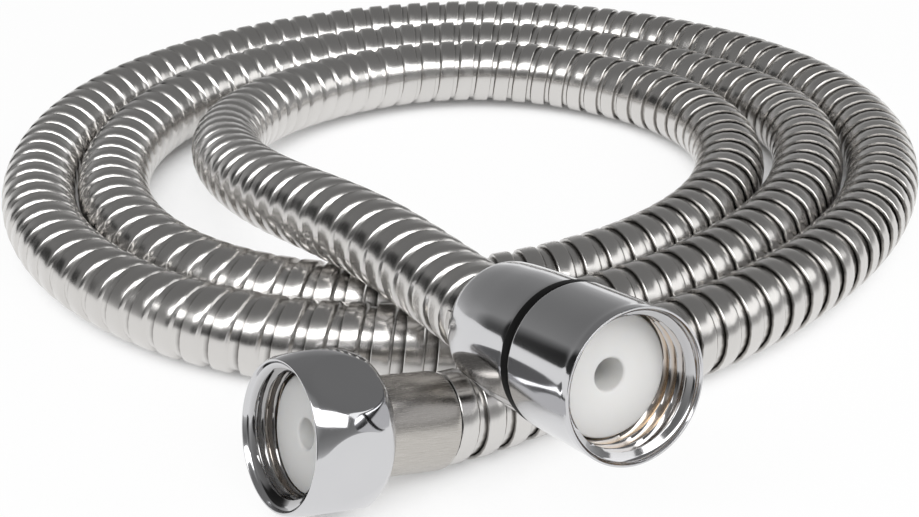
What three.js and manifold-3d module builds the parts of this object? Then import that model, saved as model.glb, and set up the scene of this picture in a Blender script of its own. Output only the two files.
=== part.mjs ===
// A shower hose, 1.5 m long, coiled on a table, in millimetres with +Z up.
//
// The hose is a flexible metal casing wound from steel strip around a soft inner tube.
// One end has a six-sided conical nut, the other a smooth round nut with a black
// swivel ring and a long rear sleeve. Each nut turns on the neck of a white insert,
// whose flange is the sealing face and whose stem is pushed into the inner tube.
// A metal ferrule is crimped around the tube and the stem at both ends.
//
// The origin lies on the table, under the middle of the coil's box.

import * as THREE from 'three';
import { mergeVertices } from 'three/addons/utils/BufferGeometryUtils.js';
import Module from 'manifold-3d';

const wasm = await Module();
wasm.setup();

// Clearances
const turningGap = 0.3;       // between a nut and what it turns on
const seatGap = 0.3;          // between faces that rest on each other
const crimpGap = 0.35;        // between the inner tube and the ferrule around it
const tubeGap = 0.9;          // between the inner tube and the casing
const stemGap = 0.34;         // between the stem and the flats of the tube's bore
const sleeveGap = 0.3;        // between the rear sleeve and the ferrule inside it
const hoseGap = 0.45;         // between the hose and the rear sleeve's lip
const bendGap = 0.8;          // behind a ferrule, where the hose starts to bend

// Hose
const hoseRadius = 7.3;       // outside of the wound casing
const casingWall = 1.1;
const tubeWall = 1.3;
const casingSides = 12;
const tubeSides = 8;
const hoseSteps = 92;
const endSteps = 4;           // short steps at each end of a pipe
const endStretch = 22;        // and the length they cover

const casingBore = hoseRadius - casingWall;
const tubeRadius = casingBore - tubeGap;
const tubeBore = tubeRadius - tubeWall;

// Inserts, alike at both ends except for the flange's width and the hole
const threadBore = 9.4;       // crest radius of the G1/2 internal thread in both nuts
const neckRadius = 6.0;
const hexFlangeWidth = 5.8;
const roundFlangeWidth = 4.2;
const stemLength = 5.5;
const flangeRadius = threadBore - turningGap;
const stemRadius = tubeBore * Math.cos(Math.PI / tubeSides) - stemGap;

// Ferrules
const ferruleWall = 2.22;
const ferruleFrontWall = 1.5;
const ferruleEdge = 0.6;      // rounding of the rear edge
const ferruleBore = tubeRadius + crimpGap;
const ferruleRadius = ferruleBore + ferruleWall;
const ferruleEye = stemRadius + turningGap;

// Six-sided nut, turned as a barrel and cut by six flats
const hexNutLength = 14.6;
const hexNutAcross = 24.1;    // across the flats
const hexNutMouth = 11.2;     // radius of the opening
const hexNutRim = 11.6;
const hexNutBarrel = 13.1;    // widest radius of the barrel
const hexNutWaist = 7;        // and its depth behind the mouth
const hexNutTail = 8.3;
const hexNutWeb = 3.8;        // thickness of the wall behind the thread
const hexNutTurn = 4;         // degrees from level to the first flat
const hexSealDepth = hexNutLength - hexNutWeb - seatGap - hexFlangeWidth;
const hexHole = 2.3;
const hexFerruleLength = 13;

// Round nut
const roundNutLength = 15.3;
const roundNutRim = 11.2;
const roundNutMouth = 10.85;
const roundNutBody = 11.15;
const roundNutWeb = 4.5;
const roundSealDepth = roundNutLength - roundNutWeb - seatGap - roundFlangeWidth;
const roundHole = 2.35;

// Black swivel ring and rear sleeve
const ringWidth = 1.7;
const ringRadius = 11.0;
const sleeveLength = 17.4;
const sleeveWall = 2.48;
const sleeveTaper = 0.6;      // loss of radius along the sleeve before its shoulder
const sleeveShoulder = 1.1;   // length of the rounded shoulder
const sleeveLip = 1.9;        // length of the lip around the hose

const sleeveBore = ferruleRadius + sleeveGap;
const sleeveRadius = sleeveBore + sleeveWall;

const neckEye = neckRadius + turningGap;
const leadBore = 10.6;        // smooth bore in front of the thread
const leadDepth = 1.4;
const leadCone = 0.5;         // length of the cone from there to the thread's crests
const roundSides = 32;

// Places of the two ends: the middle of the nut's mouth and the way it faces
const hexMouth = new THREE.Vector3(-28.504, -97.305, 15.233);
const hexFacing = new THREE.Vector3(-0.8133, -0.5260, 0.2486).normalize();
const roundMouth = new THREE.Vector3(21.972, -111.987, 32.386);
const roundFacing = new THREE.Vector3(0.4856, -0.8516, 0.1973).normalize();

// Control points of the hose's centreline, a uniform cubic B-spline, from the round
// end to the six-sided end
const route = [
  [24.09, -115.66, 32.53], [14.15, -98.24, 29.54], [4.55, -81.53, 24.83],
  [-5.15, -63.84, 23.45], [-16.85, -46.62, 23.54], [-29.14, -30.81, 21.16],
  [-40.38, -14.65, 18.22], [-49.17, 3.20, 15.64], [-53.34, 22.80, 12.93],
  [-50.29, 42.74, 10.65], [-39.61, 60.01, 9.38], [-23.38, 72.21, 9.11],
  [-3.98, 78.07, 9.19], [16.22, 76.86, 8.87], [34.84, 68.91, 8.23],
  [49.84, 55.19, 8.27], [58.40, 36.75, 8.67], [58.61, 16.39, 8.36],
  [51.73, -2.65, 7.68], [39.51, -18.62, 7.47], [23.93, -31.31, 7.51],
  [5.85, -40.04, 7.55], [-14.04, -43.75, 7.51], [-34.03, -40.78, 7.49],
  [-51.84, -31.10, 7.52], [-65.64, -16.36, 7.83], [-74.37, 1.84, 8.30],
  [-77.21, 21.82, 8.72], [-73.77, 41.72, 9.21], [-64.50, 59.64, 9.50],
  [-50.58, 74.19, 9.46], [-33.49, 84.77, 9.35], [-14.47, 91.22, 9.32],
  [5.50, 93.31, 9.19], [25.42, 90.68, 8.60], [44.07, 83.22, 7.69],
  [60.23, 71.14, 7.34], [72.03, 54.68, 8.03], [76.99, 35.07, 9.03],
  [74.96, 14.95, 9.17], [68.01, -3.90, 8.81], [57.32, -20.85, 8.56],
  [43.44, -35.32, 8.38], [27.06, -46.89, 8.05], [8.72, -55.03, 7.69],
  [-11.07, -58.56, 7.57], [-31.15, -56.90, 7.80], [-50.03, -49.91, 8.14],
  [-66.37, -38.15, 8.29], [-79.29, -22.73, 8.32], [-88.12, -4.69, 8.44],
  [-92.39, 14.95, 8.70], [-91.94, 35.05, 9.01], [-86.64, 54.44, 9.12],
  [-76.74, 71.94, 9.02], [-63.09, 86.67, 8.95], [-46.66, 98.17, 9.03],
  [-28.28, 106.19, 9.15], [-8.71, 110.53, 9.23], [11.33, 111.06, 9.16],
  [31.09, 107.67, 8.87], [49.77, 100.35, 8.50], [66.46, 89.17, 8.27],
  [79.98, 74.26, 8.18], [89.03, 56.26, 8.17], [92.75, 36.47, 8.27],
  [91.21, 16.42, 8.42], [85.31, -2.75, 8.62], [75.94, -20.44, 8.88],
  [63.73, -36.38, 9.07], [49.22, -49.97, 8.68], [32.33, -61.00, 8.26],
  [13.55, -70.98, 7.96], [-3.62, -81.03, 6.64], [-19.28, -91.46, 12.92],
  [-36.61, -102.33, 17.29],
].map((p) => new THREE.Vector3(...p));

const routeSpans = route.length - 3;

function routePoint(u, target = new THREE.Vector3()) {
  const span = Math.min(Math.max(Math.floor(u), 0), routeSpans - 1);
  const t = u - span;
  const weights = [
    (1 - t) ** 3 / 6,
    (3 * t ** 3 - 6 * t ** 2 + 4) / 6,
    (-3 * t ** 3 + 3 * t ** 2 + 3 * t + 1) / 6,
    t ** 3 / 6,
  ];
  target.set(0, 0, 0);
  weights.forEach((w, i) => target.addScaledVector(route[span + i], w));
  return target;
}

// Route parameter where the centreline is `depth` behind the mouth of one end. The
// centreline is straight there, so halving the interval finds the place.
function routeParameter(mouth, facing, depth, near, far) {
  let low = near;
  let high = far;
  for (let i = 0; i < 40; i += 1) {
    const middle = (low + high) / 2;
    const reached = mouth.clone().sub(routePoint(middle)).dot(facing);
    if (reached < depth) low = middle; else high = middle;
  }
  return (low + high) / 2;
}

class HoseRoute extends THREE.Curve {
  constructor(roundDepth, hexDepth) {
    super();
    this.arcLengthDivisions = 2000;
    this.from = routeParameter(roundMouth, roundFacing, roundDepth, 0, 3);
    this.to = routeParameter(hexMouth, hexFacing, hexDepth, routeSpans, routeSpans - 3);
  }

  getPoint(t, target) {
    return routePoint(this.from + t * (this.to - this.from), target);
  }

  // Rings are spaced evenly except at the two ends, where a few short steps keep the
  // pipe straight inside the ferrules.
  getUtoTmapping(u, distance) {
    const total = this.getLength();
    const step = u * hoseSteps;
    const fromEnd = Math.min(step, hoseSteps - step);
    let arc = (fromEnd / endSteps) * endStretch;
    if (fromEnd > endSteps) {
      const rest = (fromEnd - endSteps) / (hoseSteps - 2 * endSteps);
      arc = endStretch + rest * (total - 2 * endStretch);
    }
    return super.getUtoTmapping((step <= hoseSteps / 2 ? arc : total - arc) / total, distance);
  }
}

function ringPoints(radius, sides) {
  return Array.from({ length: sides }, (_, i) => {
    const angle = (2 * Math.PI * i) / sides;
    return new THREE.Vector2(radius * Math.cos(angle), radius * Math.sin(angle));
  });
}

// A pipe along a stretch of the hose's centreline
function pipe(outer, bore, sides, path) {
  const section = new THREE.Shape(ringPoints(outer, sides));
  section.holes.push(new THREE.Path(ringPoints(bore, sides).reverse()));
  return new THREE.ExtrudeGeometry(section, {
    steps: hoseSteps, bevelEnabled: false, extrudePath: path,
  });
}

// A turned piece: pairs of radius and depth behind the mouth, going round the section
// from the front outer edge back and home through the bore. Its axis is local Z.
function turned(pairs) {
  const profile = [...pairs, pairs[0]].reverse().map(([r, depth]) => new THREE.Vector2(r, -depth));
  return new THREE.LatheGeometry(profile, roundSides).rotateX(Math.PI / 2);
}

function toSolid(geometry) {
  const bare = geometry.clone();
  bare.deleteAttribute('uv');
  bare.deleteAttribute('normal');
  const merged = mergeVertices(bare, 1e-4);
  return new wasm.Manifold(new wasm.Mesh({
    numProp: 3,
    vertProperties: new Float32Array(merged.attributes.position.array),
    triVerts: new Uint32Array(merged.index.array),
  }));
}

function toGeometry(solid) {
  const mesh = solid.getMesh();
  const geometry = new THREE.BufferGeometry();
  geometry.setAttribute('position', new THREE.BufferAttribute(new Float32Array(mesh.vertProperties), 3));
  geometry.setIndex(new THREE.BufferAttribute(new Uint32Array(mesh.triVerts), 1));
  geometry.computeVertexNormals();
  return geometry;
}

// Six-sided nut: a barrel that swells to its waist and rounds in to the ferrule, cut
// by six flats. The wall behind the thread bears on the
// insert's flange.
function hexNutGeometry() {
  const swell = (depth) => hexNutBarrel
    - (hexNutBarrel - hexNutRim) * ((depth - hexNutWaist) / hexNutWaist) ** 2;
  const barrel = turned([
    [hexNutRim, 0],
    ...[0.17, 0.35, 0.6, 1, 1.4, 1.7].map((share) => {
      const depth = share * hexNutWaist;
      return [swell(depth), depth];
    }),
    [hexNutTail + 3.5, hexNutLength - 1.9], [hexNutTail + 3, hexNutLength - 1.3],
    [hexNutTail + 2, hexNutLength - 0.6], [hexNutTail, hexNutLength],
    [neckEye, hexNutLength], [neckEye, hexNutLength - hexNutWeb],
    [threadBore, hexNutLength - hexNutWeb], [threadBore, leadDepth + leadCone],
    [leadBore, leadDepth], [hexNutMouth, 0],
  ]);
  const cornerRadius = hexNutAcross / 2 / Math.cos(Math.PI / 6);
  const prism = new THREE.CylinderGeometry(cornerRadius, cornerRadius, 3 * hexNutLength, 6)
    .rotateX(Math.PI / 2)
    .rotateZ(THREE.MathUtils.degToRad(hexNutTurn));
  return toGeometry(toSolid(barrel).intersect(toSolid(prism)));
}

function roundNutGeometry() {
  return turned([
    [roundNutRim - 0.15, 0], [roundNutRim, 0.25], [roundNutRim, 1.2], [roundNutBody, 2.2],
    [roundNutBody, roundNutLength - 0.4], [roundNutBody - 0.4, roundNutLength],
    [neckEye, roundNutLength], [neckEye, roundNutLength - roundNutWeb],
    [threadBore, roundNutLength - roundNutWeb], [threadBore, leadDepth + leadCone],
    [leadBore, leadDepth], [roundNutMouth, 0],
  ]);
}

// Insert: sealing flange, neck that the nut turns on, and stem inside the tube
function insertGeometry(sealDepth, flangeWidth, neckEnd, hole) {
  const stemEnd = neckEnd + stemLength;
  return turned([
    [flangeRadius - 0.3, sealDepth], [flangeRadius, sealDepth + 0.3],
    [flangeRadius, sealDepth + flangeWidth], [neckRadius, sealDepth + flangeWidth],
    [neckRadius, neckEnd], [stemRadius, neckEnd], [stemRadius, stemEnd], [hole, stemEnd],
    [hole, sealDepth + 0.4], [hole + 0.4, sealDepth],
  ]);
}

function ferruleGeometry(front, length) {
  const back = front + length;
  return turned([
    [ferruleRadius - 0.3, front], [ferruleRadius, front + 0.3],
    [ferruleRadius, back - ferruleEdge], [ferruleRadius - 0.2, back - 0.2],
    [ferruleRadius - ferruleEdge, back], [ferruleBore, back],
    [ferruleBore, front + ferruleFrontWall], [ferruleEye, front + ferruleFrontWall],
    [ferruleEye, front],
  ]);
}

// Depths behind each mouth where one piece ends and the next begins
const hexNeckEnd = hexNutLength;
const hexFerruleFront = hexNeckEnd + seatGap;
const hexFerruleBack = hexFerruleFront + hexFerruleLength;
const ringFront = roundNutLength + turningGap;
const ringBack = ringFront + ringWidth;
const sleeveFront = ringBack + seatGap;
const sleeveBack = sleeveFront + sleeveLength;
const lipFront = sleeveBack - sleeveLip;
const roundFerruleFront = sleeveFront;
const roundFerruleBack = lipFront - seatGap;

function ringGeometry() {
  return turned([
    [ringRadius, ringFront], [ringRadius, ringBack], [neckEye, ringBack], [neckEye, ringFront],
  ]);
}

function sleeveGeometry() {
  const lipBore = hoseRadius + hoseGap;
  const shoulderFront = sleeveBack - sleeveShoulder;
  const shoulderRadius = sleeveRadius - sleeveTaper;
  const halfWay = (sleeveFront + shoulderFront) / 2;
  return turned([
    [sleeveRadius - 0.2, sleeveFront], [sleeveRadius, sleeveFront + 0.2],
    [sleeveRadius - 0.12 * sleeveTaper, halfWay], [shoulderRadius, shoulderFront],
    [shoulderRadius - 0.4, sleeveBack - 0.2 * sleeveShoulder],
    [shoulderRadius - 0.8, sleeveBack], [lipBore, sleeveBack],
    [lipBore, lipFront], [sleeveBore, lipFront], [sleeveBore, sleeveFront],
  ]);
}

function piece(name, geometry, colour, roughness, metalness) {
  const material = new THREE.MeshStandardMaterial({ color: colour, roughness, metalness });
  const mesh = new THREE.Mesh(geometry, material);
  mesh.name = name;
  return mesh;
}

// A group at a mouth, with local Z out of the mouth and local X level
function endGroup(mouth, facing) {
  const level = new THREE.Vector3(0, 0, 1).cross(facing).normalize();
  const rising = facing.clone().cross(level);
  const group = new THREE.Group();
  group.quaternion.setFromRotationMatrix(new THREE.Matrix4().makeBasis(level, rising, facing));
  group.position.copy(mouth);
  return group;
}

const chrome = [0xc4c4c8, 0.12, 1];
const steel = [0xb4b2ae, 0.28, 1];
const whitePlastic = [0xe6e6e2, 0.4, 0];
const blackPlastic = [0x0e0e0e, 0.5, 0];
const greyRubber = [0x5a5a5c, 0.6, 0];

const casingPath = new HoseRoute(roundFerruleBack + seatGap, hexFerruleBack + bendGap);
const tubePath = new HoseRoute(
  roundFerruleFront + ferruleFrontWall + seatGap,
  hexFerruleFront + ferruleFrontWall + seatGap,
);

const hexEnd = endGroup(hexMouth, hexFacing);
hexEnd.add(
  piece('hex_nut', hexNutGeometry(), ...chrome),
  piece('hex_insert', insertGeometry(hexSealDepth, hexFlangeWidth, hexNeckEnd, hexHole), ...whitePlastic),
  piece('hex_ferrule', ferruleGeometry(hexFerruleFront, hexFerruleLength), ...steel),
);

const roundEnd = endGroup(roundMouth, roundFacing);
roundEnd.add(
  piece('round_nut', roundNutGeometry(), ...chrome),
  piece('round_insert', insertGeometry(roundSealDepth, roundFlangeWidth, ringBack, roundHole), ...whitePlastic),
  piece('swivel_ring', ringGeometry(), ...blackPlastic),
  piece('rear_sleeve', sleeveGeometry(), ...chrome),
  piece('round_ferrule', ferruleGeometry(roundFerruleFront, roundFerruleBack - roundFerruleFront), ...steel),
);

const hose = new THREE.Group();
hose.add(
  piece('outer_casing', pipe(hoseRadius, casingBore, casingSides, casingPath), ...steel),
  piece('inner_tube', pipe(tubeRadius, tubeBore, tubeSides, tubePath), ...greyRubber),
);

const showerHose = new THREE.Group();
showerHose.add(hose, hexEnd, roundEnd);

export default showerHose;
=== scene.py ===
# %% [markdown]
# # A coiled metal shower hose
#
# The real object is a hose about a metre and a half long, lying in three loose turns on
# a table. Its skin is one long strip of steel, folded along both edges and wound into a
# screw so that each turn hooks over the next. A soft tube inside carries the water. One
# end has a six-sided nut, the other a round nut, a black swivel ring and a long sleeve.
#
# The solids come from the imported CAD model, which fixes every place and size. This file
# dresses them: it draws the fine surfaces that a faceted solid leaves out.

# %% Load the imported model
import math

import bpy
import numpy as np
from mathutils import Matrix


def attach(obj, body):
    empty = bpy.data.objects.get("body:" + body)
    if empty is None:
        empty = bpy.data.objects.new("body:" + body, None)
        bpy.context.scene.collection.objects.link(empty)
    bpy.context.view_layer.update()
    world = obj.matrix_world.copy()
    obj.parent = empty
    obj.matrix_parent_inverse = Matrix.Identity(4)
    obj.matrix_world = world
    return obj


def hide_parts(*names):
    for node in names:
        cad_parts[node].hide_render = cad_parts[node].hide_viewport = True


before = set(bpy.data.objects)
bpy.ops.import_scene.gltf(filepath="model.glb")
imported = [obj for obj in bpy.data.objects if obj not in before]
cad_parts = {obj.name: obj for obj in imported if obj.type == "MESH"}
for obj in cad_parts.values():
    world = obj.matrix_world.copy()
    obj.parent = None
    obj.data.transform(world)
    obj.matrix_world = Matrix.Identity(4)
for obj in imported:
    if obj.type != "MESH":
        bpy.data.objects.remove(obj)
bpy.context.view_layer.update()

MM = 0.001

# %% [markdown]
# ## The camera
#
# A photograph can be matched only from the place where it was taken. The height, the
# tilt and the focal length here were found by fitting the outline of the hose. The
# camera looks along +Y and down by 27 degrees, with a tiny roll.

# %% Place the camera
TILT, ROLL = math.radians(27.0), -0.0089
CAMERA_PLACE = np.array([-1.503, -279.716, 137.398]) * MM
FOCAL_LENGTH, SENSOR_WIDTH = 58.0, 36.0
right = np.array([1.0, 0.0, 0.0])
upward = np.array([0.0, math.sin(TILT), math.cos(TILT)])
forward = np.array([0.0, math.cos(TILT), -math.sin(TILT)])
rolled_right = math.cos(ROLL) * right + math.sin(ROLL) * upward
rolled_up = -math.sin(ROLL) * right + math.cos(ROLL) * upward

camera_data = bpy.data.cameras.new("photo_camera")
camera_data.sensor_width = SENSOR_WIDTH
camera_data.lens = FOCAL_LENGTH
camera_data.clip_start, camera_data.clip_end = 0.005, 50.0
camera = bpy.data.objects.new("photo_camera", camera_data)
bpy.context.collection.objects.link(camera)
basis = np.eye(4)
basis[:3, :3] = np.stack([rolled_right, rolled_up, -forward], axis=1)
basis[:3, 3] = CAMERA_PLACE
camera.matrix_world = Matrix(basis.tolist())
bpy.context.scene.camera = camera
bpy.context.scene.view_settings.view_transform = "Standard"
print("camera at", basis[:3, 3].round(4), "lens", camera_data.lens)

# %% [markdown]
# ## The line that the hose follows
#
# The centreline is a uniform cubic B-spline: each stretch is a weighted mean of four
# neighbouring control points, which keeps the bends smooth wherever the points lie. The
# points are those of the CAD model, so the fine surface lies exactly on the solid.

# %% Sample the centreline
ROUTE = np.array([
    (24.09, -115.66, 32.53), (14.15, -98.24, 29.54), (4.55, -81.53, 24.83), (-5.15, -63.84, 23.45),
    (-16.85, -46.62, 23.54), (-29.14, -30.81, 21.16), (-40.38, -14.65, 18.22), (-49.17, 3.20, 15.64),
    (-53.34, 22.80, 12.93), (-50.29, 42.74, 10.65), (-39.61, 60.01, 9.38), (-23.38, 72.21, 9.11),
    (-3.98, 78.07, 9.19), (16.22, 76.86, 8.87), (34.84, 68.91, 8.23), (49.84, 55.19, 8.27),
    (58.40, 36.75, 8.67), (58.61, 16.39, 8.36), (51.73, -2.65, 7.68), (39.51, -18.62, 7.47),
    (23.93, -31.31, 7.51), (5.85, -40.04, 7.55), (-14.04, -43.75, 7.51), (-34.03, -40.78, 7.49),
    (-51.84, -31.10, 7.52), (-65.64, -16.36, 7.83), (-74.37, 1.84, 8.30), (-77.21, 21.82, 8.72),
    (-73.77, 41.72, 9.21), (-64.50, 59.64, 9.50), (-50.58, 74.19, 9.46), (-33.49, 84.77, 9.35),
    (-14.47, 91.22, 9.32), (5.50, 93.31, 9.19), (25.42, 90.68, 8.60), (44.07, 83.22, 7.69),
    (60.23, 71.14, 7.34), (72.03, 54.68, 8.03), (76.99, 35.07, 9.03), (74.96, 14.95, 9.17),
    (68.01, -3.90, 8.81), (57.32, -20.85, 8.56), (43.44, -35.32, 8.38), (27.06, -46.89, 8.05),
    (8.72, -55.03, 7.69), (-11.07, -58.56, 7.57), (-31.15, -56.90, 7.80), (-50.03, -49.91, 8.14),
    (-66.37, -38.15, 8.29), (-79.29, -22.73, 8.32), (-88.12, -4.69, 8.44), (-92.39, 14.95, 8.70),
    (-91.94, 35.05, 9.01), (-86.64, 54.44, 9.12), (-76.74, 71.94, 9.02), (-63.09, 86.67, 8.95),
    (-46.66, 98.17, 9.03), (-28.28, 106.19, 9.15), (-8.71, 110.53, 9.23), (11.33, 111.06, 9.16),
    (31.09, 107.67, 8.87), (49.77, 100.35, 8.50), (66.46, 89.17, 8.27), (79.98, 74.26, 8.18),
    (89.03, 56.26, 8.17), (92.75, 36.47, 8.27), (91.21, 16.42, 8.42), (85.31, -2.75, 8.62),
    (75.94, -20.44, 8.88), (63.73, -36.38, 9.07), (49.22, -49.97, 8.68), (32.33, -61.00, 8.26),
    (13.55, -70.98, 7.96), (-3.62, -81.03, 6.64), (-19.28, -91.46, 12.92), (-36.61, -102.33, 17.29),
]) * MM
FINE_SAMPLES, SAMPLES = 12000, 6001     # along the spline, and kept at equal arc lengths


def spline(points, u):
    """Points of the B-spline at parameters u, counted in spans: for the fraction t of a
    span the four weights are (1-t)^3, 3t^3-6t^2+4, -3t^3+3t^2+3t+1 and t^3, over 6."""
    span = np.clip(np.floor(u).astype(int), 0, len(points) - 4)
    t = (u - span)[:, None]
    return ((1 - t) ** 3 * points[span] + (3 * t ** 3 - 6 * t ** 2 + 4) * points[span + 1]
            + (-3 * t ** 3 + 3 * t ** 2 + 3 * t + 1) * points[span + 2]
            + t ** 3 * points[span + 3]) / 6


fine = spline(ROUTE, np.linspace(0, len(ROUTE) - 3 - 1e-9, FINE_SAMPLES))
fine_arc = np.concatenate([[0], np.cumsum(np.linalg.norm(np.diff(fine, axis=0), axis=1))])
ARC = np.linspace(0, fine_arc[-1], SAMPLES)
LINE = np.stack([np.interp(ARC, fine_arc, fine[:, k]) for k in range(3)], axis=1)
TANGENT = np.gradient(LINE, ARC, axis=0)
TANGENT /= np.linalg.norm(TANGENT, axis=1)[:, None]
CURVING = np.gradient(TANGENT, ARC, axis=0)
SIDE = np.cross(TANGENT, [0.0, 0.0, 1.0])
SIDE /= np.linalg.norm(SIDE, axis=1)[:, None]
RISE = np.cross(SIDE, TANGENT)


def along(table, arc):
    """Rows of a table kept along the centreline, at any arc lengths, by linear
    interpolation. The result has the shape of arc with three numbers at its end."""
    return np.stack([np.interp(arc, ARC, table[:, k]) for k in range(3)], axis=-1)


print("the centreline is", round(ARC[-1], 3), "m, tightest bend",
      round(1000 / np.linalg.norm(CURVING, axis=1).max(), 1), "mm")

# %% [markdown]
# ## Places and sizes of the two ends
#
# Each end is a chain of turned pieces on one axis. Depths are counted in millimetres
# back from the mouth of the nut, just as they would be on a drawing.

# %% Frames of the two ends
def end_frame(mouth, facing):
    """Axes of one end: level sideways, rising, and out of the mouth, as columns."""
    out = np.array(facing) / np.linalg.norm(facing)
    level = np.cross([0.0, 0.0, 1.0], out)
    level /= np.linalg.norm(level)
    return np.array(mouth) * MM, np.stack([level, np.cross(out, level), out], axis=1)


NEAR_END = 300                          # samples of the centreline that count as near an end
CASING_BEHIND_ROUND, CASING_BEHIND_HEX = 32.5, 24.5     # depths at which the casing ends
HEX_END = end_frame((-28.504, -97.305, 15.233), (-0.8133, -0.5260, 0.2486))
ROUND_END = end_frame((21.972, -111.987, 32.386), (0.4856, -0.8516, 0.1973))


def arc_at(end, depth, first):
    """Arc length where the centreline is this deep behind a mouth, near one end."""
    mouth, axes = end
    depths = (mouth - LINE) @ axes[:, 2] / MM
    part = slice(0, NEAR_END) if first else slice(-NEAR_END, None)
    order = np.argsort(depths[part])
    return float(np.interp(depth, depths[part][order], ARC[part][order]))


HOSE_FROM = arc_at(ROUND_END, CASING_BEHIND_ROUND, True)
HOSE_TO = arc_at(HEX_END, CASING_BEHIND_HEX, False)
print("the wound casing runs from", round(HOSE_FROM, 4), "to", round(HOSE_TO, 4), "m")

# %% [markdown]
# ## Meshes from grids
#
# Every new surface here is a grid of points that wraps round in one or both of its
# directions. One function joins the grid into four-sided faces with whole-array index
# arithmetic, and stores a UV map so that a finish can follow the surface.

# %% Build a mesh from a grid
def grid_faces(rows, columns, wrap_rows, wrap_columns):
    """Corner numbers of the faces between neighbouring rows and columns."""
    i = np.arange(rows if wrap_rows else rows - 1)[:, None]
    j = np.arange(columns if wrap_columns else columns - 1)[None, :]
    i2, j2 = (i + 1) % rows, (j + 1) % columns
    corners = [i * columns + j, i * columns + j2, i2 * columns + j2, i2 * columns + j]
    return np.stack([c + 0 * corners[0] for c in corners], axis=-1).reshape(-1, 4)


def make_piece(name, points, quads, uv, body, stands_for=(), sharp=35.0,
               marks=None, caps=()):
    """Puts points, four-sided faces and one UV pair per point into a mesh that rides on a
    body. Marks are further values, one per point, and caps are faces with many corners."""
    mesh = bpy.data.meshes.new(name)
    sizes = np.array([4] * len(quads) + [len(cap) for cap in caps])
    flat = np.concatenate([quads.ravel(), *caps])
    mesh.vertices.add(len(points))
    mesh.vertices.foreach_set("co", np.ascontiguousarray(points, dtype=np.float32).ravel())
    mesh.loops.add(len(flat))
    mesh.loops.foreach_set("vertex_index", flat.astype(np.int32))
    mesh.polygons.add(len(sizes))
    mesh.polygons.foreach_set("loop_start", (np.cumsum(sizes) - sizes).astype(np.int32))
    mesh.polygons.foreach_set("use_smooth", np.ones(len(sizes), dtype=bool))
    mesh.update(calc_edges=True)
    layer = mesh.uv_layers.new(name="surface")
    layer.data.foreach_set("uv", np.asarray(uv)[flat].astype(np.float32).ravel())
    for key, values in (marks or {}).items():
        store = mesh.attributes.new(key, "FLOAT", "POINT")
        store.data.foreach_set("value", np.asarray(values, dtype=np.float32).ravel())
    mesh.set_sharp_from_angle(angle=math.radians(sharp))
    mesh.validate()
    piece = bpy.data.objects.new(name, mesh)
    bpy.context.collection.objects.link(piece)
    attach(piece, body)
    if stands_for:
        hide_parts(*stands_for)
    print(name, len(points), "points,", int((sizes - 2).sum()), "triangles")
    return piece


# %% [markdown]
# ## The wound casing
#
# The steel strip is rolled to a hooked section: a broad crown with a crisp leading edge,
# a steep shoulder, a lower band, and then a narrow gap before the next crown. Wound into a
# screw, each crown hangs over the tail of the turn beside it.
#
# It could be a plain tube with a bump texture, but then the outline would be smooth and
# the gaps would have no depth. So the strip itself is modelled: its section is carried
# along a helix round the centreline. On the outside of a bend the turns fan out and the
# gaps open, and on the inside they close, because each crown keeps its own width.

# %% Carry the strip's section along its helix
PITCH = 5.25          # mm from one crown to the next
SEGMENTS = 26         # points round one turn
ROOM_LEFT = 1.3       # turns left off, so that the last turn's section still fits
PIVOT = 2.4           # mm, the offset about which the section fans out in a bend
STRIP = np.array([    # offset along the hose and radius, in mm, round the closed section
    (0.00, 6.92), (0.00, 7.38), (0.11, 7.47), (1.60, 7.50), (2.92, 7.48), (3.12, 7.40),
    (3.44, 7.10), (3.64, 6.86), (4.70, 6.76), (5.35, 6.68), (5.90, 6.62), (5.90, 6.42),
    (0.30, 6.62)])


def wound_strip(start, stop):
    """Point (i, m): helix angle w = 2 pi i / SEGMENTS, arc = stop - PITCH w / 2 pi - the
    section's offset, divided by the local stretch 1 - r (d . k) of the bend, and radial
    direction d = cos(w) rise + sin(w) side, at the section's radius r."""
    turns = (stop - start) / (PITCH * MM) - ROOM_LEFT
    w = 2 * np.pi * np.arange(int(turns * SEGMENTS)) / SEGMENTS
    centre = stop - PITCH * MM * w / (2 * np.pi)
    angle = w[:, None]
    offset = STRIP[None, :, 0] * MM
    radius = STRIP[None, :, 1] * MM + 0 * angle
    middle = PIVOT * MM
    d = np.cos(angle)[..., None] * along(RISE, centre)[:, None] \
        + np.sin(angle)[..., None] * along(SIDE, centre)[:, None]
    stretch = 1 - radius * (d * along(CURVING, centre)[:, None]).sum(-1)
    arc = centre[:, None] - middle - (offset - middle) / stretch
    arc = np.clip(arc, 0, ARC[-1])
    d = np.cos(angle)[..., None] * along(RISE, arc) + np.sin(angle)[..., None] * along(SIDE, arc)
    points = along(LINE, arc) + radius[..., None] * d
    uv = np.stack([w[:, None] / (2 * np.pi) + 0 * radius,
                   np.linspace(0, 1, len(STRIP))[None, :] + 0 * radius], axis=-1)
    return points, uv


strip_points, strip_uv = wound_strip(HOSE_FROM, HOSE_TO)
rows, columns = strip_points.shape[:2]
strip_faces = grid_faces(rows, columns, False, True)[:, ::-1]
first_row = np.arange(columns)
caps = [first_row, ((rows - 1) * columns + first_row)[::-1]]
casing = make_piece(
    "wound_casing", strip_points.reshape(-1, 3), strip_faces, strip_uv.reshape(-1, 2),
    "hose", ["outer_casing"], sharp=24.0, caps=caps)

# %% [markdown]
# ## Turned pieces
#
# Nuts, ferrules, rings and inserts are all turned on a lathe in reality, so a profile
# spun round the axis is the honest way to make them. Corners get small radii, because a
# polished edge is never perfectly sharp and it is the edge that catches the light.

# %% Round a profile and spin it
LARGEST_FILLET = 0.45     # of the shorter side beside a corner


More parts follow.
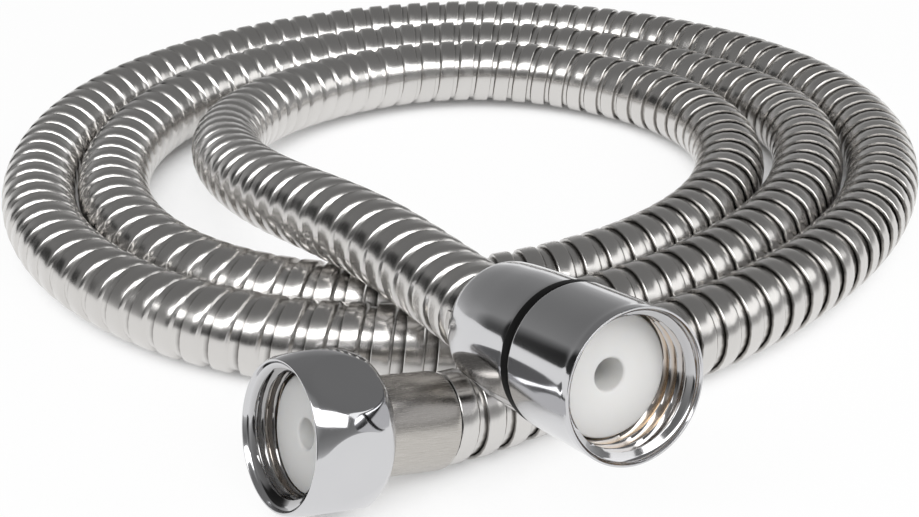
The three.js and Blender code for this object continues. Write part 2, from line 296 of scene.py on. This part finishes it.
def rounded(corners, steps=5):
    """The closed profile through (radius, depth, fillet) corners, each fillet replaced by
    a quadratic arc: (1-t)^2 a + 2t(1-t) corner + t^2 b, with a and b on the two sides."""
    p = np.array([c[:2] for c in corners], dtype=float)
    fillet = np.array([c[2] for c in corners], dtype=float)[:, None]
    before, after = np.roll(p, 1, axis=0) - p, np.roll(p, -1, axis=0) - p
    la = np.linalg.norm(before, axis=1, keepdims=True)
    lb = np.linalg.norm(after, axis=1, keepdims=True)
    a = p + before / la * np.minimum(fillet, LARGEST_FILLET * la)
    b = p + after / lb * np.minimum(fillet, LARGEST_FILLET * lb)
    t = np.linspace(0, 1, steps)[None, :, None]
    arcs = (1 - t) ** 2 * a[:, None] + 2 * t * (1 - t) * p[:, None] + t ** 2 * b[:, None]
    return arcs.reshape(-1, 2)


def densify(profile, longest):
    """Adds points on the straight stretches so that none is longer than this."""
    nxt = np.roll(profile, -1, axis=0)
    counts = np.maximum(1, np.ceil(np.linalg.norm(nxt - profile, axis=1) / longest).astype(int))
    owner = np.repeat(np.arange(len(profile)), counts)
    step = np.arange(len(owner)) - np.repeat(np.cumsum(counts) - counts, counts)
    t = (step / counts[owner])[:, None]
    return profile[owner] * (1 - t) + nxt[owner] * t


def spun(name, end, profile, body, stands_for=(), around=128, reshape=None,
         sharp=35.0):
    """A surface of revolution: point (i, j) lies at radius r_i, depth z_i and angle a_j.
    reshape may change the radii with the angle, for flats and threads."""
    mouth, axes = end
    a = 2 * np.pi * np.arange(around) / around
    r = np.repeat(profile[:, 0][:, None], around, axis=1)
    depth = np.repeat(profile[:, 1][:, None], around, axis=1)
    marks = {}
    if reshape is not None:
        r, marks = reshape(r, depth, a[None, :] + 0 * r)
    local = np.stack([r * np.cos(a), r * np.sin(a), -depth], axis=-1) * MM
    points = mouth + local.reshape(-1, 3) @ axes.T
    step = np.linalg.norm(np.diff(profile, axis=0, append=profile[:1]), axis=1)
    v = np.concatenate([[0], np.cumsum(step)[:-1]]) / step.sum()
    uv = np.stack([np.repeat(a[None] / (2 * np.pi), len(profile), 0),
                   np.repeat(v[:, None], around, 1)], axis=-1).reshape(-1, 2)
    faces = grid_faces(len(profile), around, True, True)
    area = 0.5 * np.sum(profile[:, 0] * np.roll(profile[:, 1], -1)
                        - np.roll(profile[:, 0], -1) * profile[:, 1])
    if area > 0:
        faces = faces[:, ::-1]
    return make_piece(name, points, faces, uv, body, stands_for, sharp, marks)


# %% [markdown]
# ## The thread in both nuts
#
# A shower fitting has 14 turns to the inch, so the grooves come every 1.814 mm. Seen
# through the mouth they are the busiest part of the whole object. The bore's radius is
# made to rise and fall with depth minus angle, and near the mouth a cone cuts it away.

# %% The thread as a change of radius
THREAD_PITCH, CREST, ROOT = 25.4 / 14, 9.42, 10.5
THREAD_FROM, THREAD_TO, RUN_OUT = 0.25, 10.6, 0.9       # depths, and where the last turn fades
BORE_LEAST, BORE_MOST = 9.2, 10.9                       # radii that belong to the bore
LAND, FLANK, SOFTNESS = 0.12, 0.72, 0.35                # shares of the groove's section
LEAD_IN = [0, 0.4, 0.75, 1.4]                           # depths of the cone behind the mouth
BARE_FROM, BARE_OVER = 2.2, 3.0                         # where brass begins to show, and over what
SHADE_FROM, SHADE_OVER = 0.5, 1.0                       # where the shade begins, and over what


def threaded(r, depth, angle, mouth_radius):
    """Radius of the bore where it is threaded: CREST + (ROOT - CREST) * g, where g is a
    triangle of the phase depth / pitch - angle / 2 pi with flat tops, softened by the curve
    t t (3 - 2 t). It is widened to the smooth lead-in behind the mouth and fades out at the
    last turn. Also gives where the bare brass shows and where the bore is in shade."""
    inside = (depth > THREAD_FROM) & (depth < THREAD_TO) & (r < BORE_MOST) & (r > BORE_LEAST)
    phase = (depth / THREAD_PITCH - angle / (2 * np.pi)) % 1.0
    triangle = 1 - np.abs(2 * phase - 1)
    groove = np.clip((triangle - LAND) / FLANK, 0, 1)
    groove = groove * groove * (3 - 2 * groove) * SOFTNESS + groove * (1 - SOFTNESS)
    fade = np.clip((THREAD_TO - depth) / RUN_OUT, 0, 1)
    bore = CREST + (ROOT - CREST) * groove * fade
    bore = np.maximum(bore, np.interp(depth, LEAD_IN, [
        mouth_radius, mouth_radius - 0.2, ROOT + 0.1, CREST]))
    bare = inside * groove * np.clip((depth - BARE_FROM) / BARE_OVER, 0, 1)
    shaded = inside * np.clip((depth - SHADE_FROM) / SHADE_OVER, 0, 1)
    return np.where(inside, bore, r), bare, shaded


# %% [markdown]
# ## The six-sided nut
#
# This nut starts as a barrel, widest a little behind its mouth, and six flats are cut
# into it. Where a flat meets the barrel the edge is an ellipse, which is why the flats
# look like ovals. The radius at each point is the smaller of the barrel's radius and the
# flat's, apothem / cos(angle from the flat), blended over a tenth of a millimetre.

# %% Make the six-sided nut
HEX_APOTHEM, HEX_FIRST_FLAT = 12.05, math.radians(4)
HEX_MOUTH, HEX_OUTSIDE, HEX_FLAT_EDGE = 11.2, 11.35, 0.10
SOCKET, HEX_LENGTH, NECK_HOLE = 10.8, 14.6, 6.3         # depths, and the hole in the web
BARREL_RADIUS, BARREL_DROP, BARREL_WIDEST = 13.1, 1.5, 7.0
HEX_WEAR = 0.3                                          # how far its brass shows
HEX_STEP, ROUND_STEP, PLAIN_STEP = 0.17, 0.2, 0.6       # longest steps of the profiles, in mm


def smaller(a, b, width):
    """A minimum with a rounded corner: the mean minus half the rounded difference."""
    return 0.5 * (a + b - np.sqrt((a - b) ** 2 + width ** 2))


def hex_shape(r, depth, angle):
    """Cuts the six flats and the thread: turned is the angle from the nearest flat."""
    turned = (angle - HEX_FIRST_FLAT + np.pi / 6) % (np.pi / 3) - np.pi / 6
    flat = HEX_APOTHEM / np.cos(turned)
    r = np.where(r > HEX_OUTSIDE, smaller(r, flat, HEX_FLAT_EDGE), r)
    r, bare, shaded = threaded(r, depth, angle, HEX_MOUTH)
    return r, {"bare": bare * HEX_WEAR, "bore": shaded}


def barrel(depth):
    """Radius of the barrel: R - drop ((depth - widest) / widest)^2."""
    return BARREL_RADIUS - BARREL_DROP * ((depth - BARREL_WIDEST) / BARREL_WIDEST) ** 2


swell = [(float(barrel(d)), d, 0.5) for d in np.linspace(0.9, 11.9, 23)]
front_lip = [(HEX_MOUTH, 0.0, 0.08), (11.5, 0.0, 0.12), (11.7, 0.35, 0.2)]
rear_shoulder = [(11.85, 12.7, 0.4), (11.3, 13.4, 0.4), (10.3, 14.2, 0.5), (8.6, HEX_LENGTH, 0.2)]


def socket_outline(rear):
    """The inside of a nut, from the web's rear face round to the start of the thread."""
    return [(NECK_HOLE, rear, 0.1), (NECK_HOLE, SOCKET, 0.05), (9.45, SOCKET, 0.1),
            (CREST, 1.9, 0.02), (10.6, 1.4, 0.1)]


hex_profile = densify(
    rounded(front_lip + swell + rear_shoulder + socket_outline(HEX_LENGTH), 4), HEX_STEP)
hex_nut = spun("six_sided_nut", HEX_END, hex_profile, "hex_nut", ["hex_nut"],
               around=384, reshape=hex_shape, sharp=50.0)

# %% [markdown]
# ## The round nut, its black ring and the long sleeve
#
# The other nut is smooth and nearly straight, with a thin bright lip. Behind it a black
# plastic ring lets it turn, and a plated sleeve covers the crimp and runs down to the
# hose with a soft shoulder.

# %% Make the round nut, the ring and the sleeve
ROUND_MOUTH, ROUND_LENGTH, ROUND_SHADE = 10.85, 15.3, 0.5
RING_FROM, RING_TO, RING_RADIUS = 15.4, 17.3, 11.0
SLEEVE_FROM, SLEEVE_STEP, SLEEVE_TO = 17.45, 33.1, 35.0
SLEEVE_BORE, SLEEVE_MOUTH = 8.2, 7.76


def round_shape(r, depth, angle):
    """Cuts the thread."""
    r, bare, shaded = threaded(r, depth, angle, ROUND_MOUTH)
    return r, {"bare": bare, "bore": shaded * ROUND_SHADE}


round_profile = densify(rounded([
    (ROUND_MOUTH, 0.0, 0.08), (11.16, 0.0, 0.12), (11.2, 1.2, 0.3), (11.16, 2.0, 0.6),
    (11.15, 14.9, 0.1), (10.95, ROUND_LENGTH, 0.12)] + socket_outline(ROUND_LENGTH), 5),
    ROUND_STEP)
round_nut = spun("round_nut_plated", ROUND_END, round_profile, "round_nut", ["round_nut"],
                 around=256, reshape=round_shape, sharp=50.0)

ring_profile = rounded([
    (NECK_HOLE, RING_FROM, 0.1), (RING_RADIUS, RING_FROM, 0.3), (11.02, 16.3, 0.3),
    (RING_RADIUS, RING_TO, 0.3), (NECK_HOLE, RING_TO, 0.1)], 6)
ring = spun("swivel_ring_black", ROUND_END, ring_profile, "hose", ["swivel_ring"],
            around=160)

sleeve_profile = densify(rounded([
    (SLEEVE_BORE, SLEEVE_FROM, 0.1), (10.6, SLEEVE_FROM, 0.3), (10.66, 18.2, 0.5),
    (10.6, 25.0, 2.0), (10.35, 31.0, 2.0), (10.08, 33.9, 0.8), (9.7, 34.7, 0.4),
    (9.2, SLEEVE_TO, 0.3), (7.9, SLEEVE_TO, 0.2), (SLEEVE_MOUTH, 34.7, 0.1),
    (SLEEVE_MOUTH, SLEEVE_STEP, 0.1), (SLEEVE_BORE, SLEEVE_STEP, 0.1)], 6), PLAIN_STEP)
sleeve = spun("rear_sleeve_plated", ROUND_END, sleeve_profile, "hose", ["rear_sleeve"],
              around=160)

# %% [markdown]
# ## The white inserts and the ferrules
#
# Inside each nut sits a white plastic insert. Its flat face takes the sealing washer, and
# the water comes through its hole. At the six-sided end a brushed ferrule is crimped
# over the end of the hose.

# %% Make the inserts and the visible ferrule
FLANGE_RADIUS, NECK_RADIUS, STEM_RADIUS, STEM_LENGTH = 9.15, 6.0, 3.35, 5.5
FERRULE_FROM, FERRULE_WEB, FERRULE_TUBE, FERRULE_TO = 14.9, 19.1, 21.0, 27.9
FERRULE_HOLE, FERRULE_BORE = 3.7, 7.56


def insert_profile(seal, flange, neck_end, hole):
    """Flange, neck and stem of an insert, with a soft edge round its hole."""
    flange_end, stem_end = seal + flange, neck_end + STEM_LENGTH
    return rounded([
        (hole, seal, 0.5), (FLANGE_RADIUS, seal, 0.4), (FLANGE_RADIUS, flange_end, 0.1),
        (NECK_RADIUS, flange_end, 0.1), (NECK_RADIUS, neck_end, 0.1),
        (STEM_RADIUS, neck_end, 0.05), (STEM_RADIUS, stem_end, 0.1), (hole, stem_end, 0.05)], 6)


hex_insert = spun("insert_hex_end", HEX_END,
                  insert_profile(seal=4.7, flange=5.8, neck_end=HEX_LENGTH, hole=2.3),
                  "hose", ["hex_insert"], around=96)
round_insert = spun("insert_round_end", ROUND_END,
                    insert_profile(seal=6.3, flange=4.2, neck_end=RING_TO, hole=2.35),
                    "hose", ["round_insert"], around=96)
ferrule_profile = densify(rounded([
    (FERRULE_HOLE, FERRULE_FROM, 0.05), (7.6, FERRULE_FROM, 0.3), (7.86, 15.5, 0.4),
    (7.87, 27.2, 0.4), (7.72, FERRULE_TO, 0.2), (FERRULE_BORE, FERRULE_TO, 0.05),
    (FERRULE_BORE, FERRULE_TUBE, 0.1), (5.7, FERRULE_TUBE, 0.1), (5.7, FERRULE_WEB, 0.1),
    (FERRULE_HOLE, FERRULE_WEB, 0.05)], 5), PLAIN_STEP)
ferrule = spun("crimped_ferrule", HEX_END, ferrule_profile, "hose", ["hex_ferrule"],
               around=160)

# %% [markdown]
# ## Shader maths
#
# A finish is a small sum: base colour plus a little noise, roughness times a streak. The
# class below lets such a sum be written as Python. It wraps one socket, and each + - or *
# adds a Math node. Any other node comes from one method.

# %% A socket that can be calculated with
class Signal:
    """One shader output. Operators with numbers or other signals add Math nodes."""

    def __init__(self, tree, plug):
        self.tree, self.plug = tree, plug

    def _sum(self, operation, first, second):
        """The Math node of this operation on two values."""
        node = self.tree.nodes.new("ShaderNodeMath")
        node.operation = operation
        feed(self.tree, node.inputs[0], first)
        feed(self.tree, node.inputs[1], second)
        return Signal(self.tree, node.outputs[0])

    def __add__(self, other):
        return self._sum("ADD", self, other)

    def __radd__(self, other):
        return self._sum("ADD", other, self)

    def __sub__(self, other):
        return self._sum("SUBTRACT", self, other)

    def __rsub__(self, other):
        return self._sum("SUBTRACT", other, self)

    def __mul__(self, other):
        return self._sum("MULTIPLY", self, other)

    def __rmul__(self, other):
        return self._sum("MULTIPLY", other, self)


def feed(tree, socket, value):
    """Links a signal to a socket, or sets the socket's own value."""
    if isinstance(value, Signal):
        tree.links.new(value.plug, socket)
    else:
        socket.default_value = value


def set_stops(ramp, stops):
    """Places the (position, grey) stops of a colour ramp, which starts out with two."""
    for place, (position, grey) in enumerate(stops):
        stop = ramp.elements[place] if place < 2 else ramp.elements.new(position)
        stop.position, stop.color = position, (grey, grey, grey, 1)


class Nodes:
    """A node tree of a material or of the world, with one method that makes its nodes."""

    def __init__(self, tree):
        self.tree = tree

    def node(self, kind, settings=None, sockets=None, output=0):
        """A node of this type, with its settings and then its sockets filled in. The
        setting named stops holds the stops of a colour ramp."""
        node = self.tree.nodes.new(kind)
        for key, value in (settings or {}).items():
            if key == "stops":
                set_stops(node.color_ramp, value)
            else:
                setattr(node, key, value)
        for key, value in (sockets or {}).items():
            feed(self.tree, node.inputs[key], value)
        return Signal(self.tree, node.outputs[output])

    def ramp(self, signal, stops):
        """A colour ramp with these (position, grey) stops."""
        return self.node("ShaderNodeValToRGB", {"stops": stops}, {0: signal})

    def mix(self, share, first, second, blend="MIX"):
        """Colour mix: first where share is 0, second, or the blend of both, where it is 1."""
        return self.node("ShaderNodeMix", {"data_type": "RGBA", "blend_type": blend},
                         {0: share, 6: first, 7: second}, output=2)

    def noise(self, scale, detail, place=None, roughness=0.5):
        """Noise of this scale, in object coordinates unless another place is given."""
        if place is None:
            place = self.node("ShaderNodeTexCoord", output="Object")
        return self.node("ShaderNodeTexNoise", {}, {
            "Vector": place, "Scale": scale, "Detail": detail, "Roughness": roughness})

    def scaled(self, vector, factors):
        """A vector times another, number by number."""
        return self.node("ShaderNodeVectorMath", {"operation": "MULTIPLY"},
                         {0: vector, 1: factors})


class Finish(Nodes):
    """A material under construction."""

    def __init__(self, name):
        self.material = bpy.data.materials.new(name)
        self.material.use_nodes = True
        super().__init__(self.material.node_tree)
        self.surface = self.tree.nodes["Principled BSDF"]

    def bump(self, height, distance, strength=1.0):
        """Bump on the surface's normal, with the height's distance in metres."""
        normal = self.node("ShaderNodeBump", sockets={
            "Height": height, "Distance": distance, "Strength": strength})
        feed(self.tree, self.surface.inputs["Normal"], normal)

    def put(self, *pieces, **values):
        """Feeds the shader's sockets, named with underscores, and dresses the pieces."""
        for key, value in values.items():
            feed(self.tree, self.surface.inputs[key.replace("_", " ")], value)
        for piece in pieces:
            piece.data.materials.clear()
            piece.data.materials.append(self.material)
        print("finish", self.material.name, "on", [piece.name for piece in pieces])


# %% [markdown]
# ## The finish of the steel strip
#
# The strip is bright steel, rolled lengthwise, so its fine lines run along the strip,
# round and round the hose. The UV map runs that way too: U counts turns and V goes
# across the section. Noise that is long in U and short in V draws the rolling lines. A
# painted shade darkens the band that lies under the next crown, and the foot of each
# crown's leading edge, where the overhang shades them.

# %% Steel strip
steel = Finish("rolled_steel_strip")
strip_map = steel.node("ShaderNodeUVMap", {"uv_map": "surface"})
lines = steel.noise(1.0, 3.0, steel.scaled(strip_map, (3.0, 60.0, 1.0)), 0.6)
clouds = steel.noise(45.0, 3.0)
across = steel.node("ShaderNodeSeparateXYZ", sockets={0: strip_map}, output=1)
# painted shade: dark under the next crown's overhang and at the foot of the leading edge
painted_gap_shade = steel.ramp(across, [(0.0, 0.35), (0.07, 1.0), (0.64, 1.0), (0.76, 0.15)])
base = steel.mix(clouds, (0.61, 0.595, 0.575, 1), (0.73, 0.715, 0.70, 1))
# the painted shade mixes a near-black into the steel's colour there
base = steel.mix(1 - painted_gap_shade, base, (0.06, 0.055, 0.05, 1))
steel.bump(lines, 0.00001, 0.12)
steel.put(casing, Base_Color=base, Metallic=1.0, Roughness=0.13 + 0.14 * lines + 0.05 * clouds)

# %% [markdown]
# ## Chrome plating
#
# The nuts and the sleeve are plated brass. Chrome is almost a mirror, so its look comes
# from what it reflects. Only faint polishing waves and a few smudges are added. Deep in
# the thread the plating is thin, and the brass shows warm through it. The attribute
# named bare, stored with the mesh, says where. The one named bore paints shade into the
# thread as a darker grey, where light reaches the plating only after many reflections.

# %% Chrome
chrome = Finish("chrome_plating")
waves = chrome.noise(220.0, 2.0)
smudge = chrome.noise(90.0, 4.0)
bare = chrome.node("ShaderNodeAttribute", {"attribute_name": "bare"}, output=2)
plated = chrome.mix(smudge, (0.60, 0.60, 0.615, 1), (0.66, 0.66, 0.67, 1))
bore = chrome.node("ShaderNodeAttribute", {"attribute_name": "bore"}, output=2)
# painted shade: the bore mark greys the plating deep in the thread
plating_with_painted_shade = chrome.mix(bore, plated, (0.36, 0.355, 0.355, 1))
brassy = chrome.mix(bare * (0.55 + 0.6 * waves), plating_with_painted_shade, (0.60, 0.39, 0.18, 1))
chrome.bump(waves, 0.00001, 0.25)
chrome.put(hex_nut, round_nut, sleeve, Base_Color=brassy, Metallic=1.0,
           Roughness=0.06 + 0.06 * smudge + 0.22 * bare)

# %% [markdown]
# ## Brushed ferrule, white inserts, the black ring and what is hidden
#
# The ferrule is brushed along its axis, so its lines are fine in U, round the axis, and
# long in V. The inserts are moulded in milky plastic, which lets a little light in. The
# ring is a dull black. The inner tube and the ferrule under the sleeve can't be seen on the
# whole object, but they get finishes of their own all the same.

# %% Brushed steel, the plastics and the hidden pieces
brushed = Finish("brushed_ferrule")
ferrule_map = brushed.node("ShaderNodeUVMap", {"uv_map": "surface"})
hairs = brushed.noise(1.0, 4.0, brushed.scaled(ferrule_map, (260.0, 9.0, 1.0)), 0.7)
tone = brushed.mix(hairs, (0.38, 0.36, 0.335, 1), (0.66, 0.635, 0.60, 1))
brushed.bump(hairs, 0.00003, 0.6)
brushed.put(ferrule, Base_Color=tone, Metallic=1.0, Roughness=0.19 + 0.14 * hairs)

milky = Finish("milky_white_plastic")
grain = milky.noise(700.0, 3.0)
stain = milky.noise(160.0, 2.0)
milky.bump(grain, 0.00002, 0.3)
milky.put(hex_insert, round_insert, Roughness=0.36 + 0.12 * grain, Subsurface_Weight=0.4,
          Subsurface_Scale=0.003, Subsurface_Radius=(0.7, 0.66, 0.6),
          Base_Color=milky.mix(stain, (0.86, 0.855, 0.84, 1), (0.91, 0.91, 0.90, 1)))

black = Finish("black_plastic")
grain = black.noise(900.0, 2.0)
black.bump(grain, 0.00001, 0.3)
black.put(ring, Base_Color=black.mix(grain, (0.003, 0.003, 0.003, 1), (0.008, 0.008, 0.008, 1)),
          Roughness=0.45 + 0.15 * grain, Specular_IOR_Level=0.1)

rubber = Finish("grey_tube")
grain = rubber.noise(500.0, 2.0)
rubber.bump(grain, 0.00003, 0.4)
rubber.put(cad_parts["inner_tube"], Roughness=0.55 + 0.2 * grain,
           Base_Color=rubber.mix(grain, (0.07, 0.07, 0.075, 1), (0.11, 0.11, 0.115, 1)))

inner = Finish("hidden_ferrule_steel")
grain = inner.noise(400.0, 3.0)
inner.bump(grain, 0.00002, 0.4)
inner.put(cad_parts["round_ferrule"], Metallic=1.0, Roughness=0.3 + 0.2 * grain,
          Base_Color=inner.mix(grain, (0.5, 0.48, 0.45, 1), (0.66, 0.64, 0.6, 1)))

# %% [markdown]
# ## The table
#
# The table is plain and pale. It shows white to the camera and in reflections, and keeps a
# soft shadow where the strands lie close together: there the share of its glow falls with
# the open sky that each point sees.

# %% Table
TABLE_HALF = 6.0            # metres
HEM = 0.03                  # metres within which the hose shades the table
table_mesh = bpy.data.meshes.new("table")
table_mesh.from_pydata([(-TABLE_HALF, -TABLE_HALF, 0), (TABLE_HALF, -TABLE_HALF, 0),
                        (TABLE_HALF, TABLE_HALF, 0), (-TABLE_HALF, TABLE_HALF, 0)],
                       [], [(0, 1, 2, 3)])
table = bpy.data.objects.new("table", table_mesh)
bpy.context.collection.objects.link(table)
paper = Finish("white_table")
paper.put(table, Base_Color=(0.86, 0.86, 0.86, 1), Roughness=0.9, Specular_IOR_Level=0.0)
seen = paper.node("ShaderNodeMath", {"operation": "MAXIMUM"}, {
    0: paper.node("ShaderNodeLightPath", output="Is Camera Ray"),
    1: paper.node("ShaderNodeLightPath", output="Is Glossy Ray")})
hemmed = paper.node("ShaderNodeAmbientOcclusion", {"samples": 6}, {"Distance": HEM}, output=1)
open_table = paper.ramp(hemmed, [(0.04, 0.0), (0.32, 1.0)])
glow = paper.node("ShaderNodeEmission", {}, {"Color": (1, 1, 1, 1), "Strength": 1.03})
lit = paper.node("ShaderNodeMixShader", {}, {
    0: seen * 0.9 * open_table, 1: Signal(paper.tree, paper.surface.outputs[0]), 2: glow})
feed(paper.tree, paper.tree.nodes["Material Output"].inputs["Surface"], lit)

# %% [markdown]
# ## The room and its lamps
#
# Metal shows its surroundings, so the light is drawn for the reflections first. The room
# is a mid grey that darkens upwards. A long soft lamp above and behind the camera puts
# bright arcs on the shoulders of the ribs, with a haze of light round it. Two dark cards,
# one beside the camera and one at the far left, give the steel its black accents.

# %% World and lamps
world = bpy.data.worlds.new("studio")
world.use_nodes = True
bpy.context.scene.world = world
sky = Nodes(world.node_tree)
background = world.node_tree.nodes["Background"]
direction = sky.node("ShaderNodeTexCoord", output="Generated")
height = sky.node("ShaderNodeSeparateXYZ", sockets={0: direction}, output="Z")


def patch(colour, toward, rim, core, greys, blend):
    """Blends a round patch into the room: a ramp on direction . toward, from rim to core."""
    closeness = sky.node("ShaderNodeVectorMath", {"operation": "DOT_PRODUCT"},
                         {0: direction, 1: toward}, output="Value")
    return sky.mix(1.0, colour, sky.ramp(closeness, zip((rim, core), greys)), blend)


room = sky.ramp(height, [(0.0, 0.62), (0.1, 0.42), (0.22, 0.3), (0.45, 0.21), (1.0, 0.19)])
room = patch(room, (-0.45, -0.87, 0.2), 0.89, 0.945, (1.0, 0.1), "MULTIPLY")
room = patch(room, (-0.95, 0.28, 0.13), 0.935, 0.97, (1.0, 0.08), "MULTIPLY")
room = patch(room, (-0.3, -0.6, 0.74), 0.78, 0.98, (0.0, 0.26), "ADD")
looking = sky.node("ShaderNodeLightPath", output="Is Camera Ray")
feed(sky.tree, background.inputs["Color"], sky.mix(looking, room, (1, 1, 1, 1)))
background.inputs["Strength"].default_value = 1.0


def soft_lamp(name, place, target, size, power, size_y=None):
    """A rectangular lamp that faces a target, in metres and watts. Its axes are side,
    back x side and back, where back points from the target to the lamp."""
    data = bpy.data.lights.new(name, "AREA")
    data.shape, data.size, data.size_y = "RECTANGLE", size, size_y or size
    data.energy = power
    lamp = bpy.data.objects.new(name, data)
    bpy.context.collection.objects.link(lamp)
    place, target = np.array(place, float), np.array(target, float)
    back = (place - target) / np.linalg.norm(place - target)
    side = np.cross([0, 0, 1.0], back)
    side /= np.linalg.norm(side)
    pose = np.eye(4)
    pose[:3, :3] = np.stack([side, np.cross(back, side), back], axis=1)
    pose[:3, 3] = place
    lamp.matrix_world = Matrix(pose.tolist())
    return lamp


soft_lamp("front_lamp", (0.0, -0.95, 1.2), (0, 0, 0), 3.0, 18.0, 0.6)
soft_lamp("side_lamp", (1.25, -0.05, 0.75), (0, 0, 0), 1.0, 2.2, 0.6)
fill = soft_lamp("fill_lamp", (0.9, -1.3, 0.6), (0, -0.1, 0.02), 0.9, 5.0)
fill.visible_glossy = False
